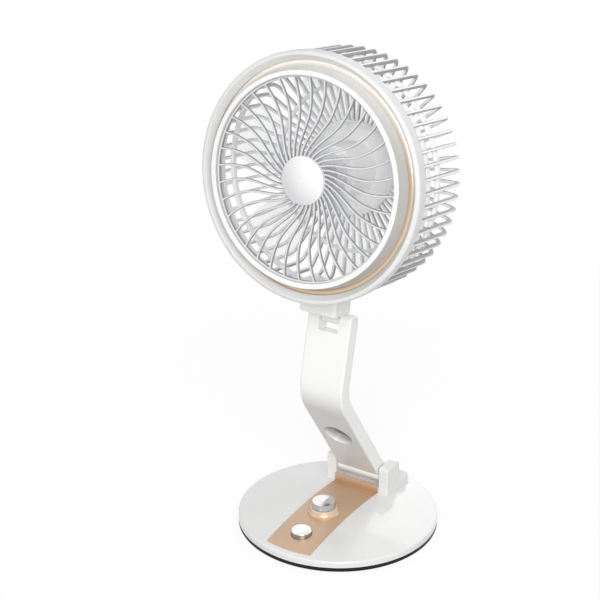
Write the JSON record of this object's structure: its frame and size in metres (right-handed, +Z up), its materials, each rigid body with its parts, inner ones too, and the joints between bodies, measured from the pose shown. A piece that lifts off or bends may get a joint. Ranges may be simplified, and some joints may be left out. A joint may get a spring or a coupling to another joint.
{
  "type": "foldable desk fan",
  "caption": "Foldable desk fan with a round base, knob and button, a bent folding arm and a tilting drum head that holds a spiral grille, a ring light and an impeller.",
  "frame": {"origin": "middle of the base on the table", "axes": "+Z up, -Y the way the fan blows, +X across the fan"},
  "size_m": [0.16, 0.138, 0.3435],
  "materials": {
    "white": "satin",
    "champagne": "satin metallic",
    "black": "matte",
    "rubber": "matte",
    "chrome": "polished",
    "steel": "plain",
    "washer": "matte",
    "board": "matte",
    "cell": "satin",
    "diffuser": "translucent",
    "copper": "plain",
    "blade": "satin"
  },
  "bodies": {
    "base": {"bottom_cover": "black", "foot_ring": "rubber", "base_shell": "white", "control_panel": "champagne", "knob_collar": "champagne", "hinge_bracket": "white", "base_hinge_pin": "steel", "base_hinge_washers": "washer", "main_board": "board", "speed_control": "steel", "button_switch": "black", "battery_cells": "cell", "charging_socket": "steel", "base_screws": "steel", "bracket_screws": "steel"},
    "knob": {"speed_knob": "chrome", "knob_shaft": "steel"},
    "button": {"light_button": "chrome"},
    "arm": {"arm_shell": "white", "arm_rear_cover": "white", "arm_screws": "steel", "head_hinge_pin": "steel", "head_hinge_washers": "washer"},
    "head": {"neck_bracket": "white", "neck_screws": "steel", "front_bezel": "white", "gold_ring": "champagne", "light_ring": "diffuser", "led_board": "board", "front_grille": "white", "grille_cap": "white", "rear_grille": "white", "head_screws": "steel", "motor_housing": "steel", "motor_end_bell": "steel", "motor_bearings": "steel", "motor_stator": "copper", "motor_screws": "steel"},
    "impeller": {"impeller": "blade", "motor_shaft": "steel", "motor_rotor": "steel", "impeller_nut": "blade"}
  },
  "joints": [
    {"name": "arm_fold", "type": "hinge", "parent": "base", "child": "arm", "pos_m": [0, 0.0335, 0.0265], "axis": [1, 0, 0], "range_deg": [0, 55]},
    {"name": "head_tilt", "type": "hinge", "parent": "arm", "child": "head", "pos_m": [0, -0.00801, 0.15755], "axis": [-1, 0, 0], "range_deg": [-30, 135]},
    {"name": "impeller_spin", "type": "hinge", "parent": "head", "child": "impeller", "pos_m": [0, -0.04062, 0.2646], "axis": [0, -0.9882, 0.153], "continuous": true},
    {"name": "knob_turn", "type": "hinge", "parent": "base", "child": "knob", "pos_m": [0, -0.0185, 0.02], "axis": [0, 0, -1], "range_deg": [0, 270]},
    {"name": "button_press", "type": "slide", "parent": "base", "child": "button", "axis": [0, 0, -1], "range_m": [0, 0.0015], "stiffness_N_per_m": 600, "springref_m": -0.002}
  ]
}
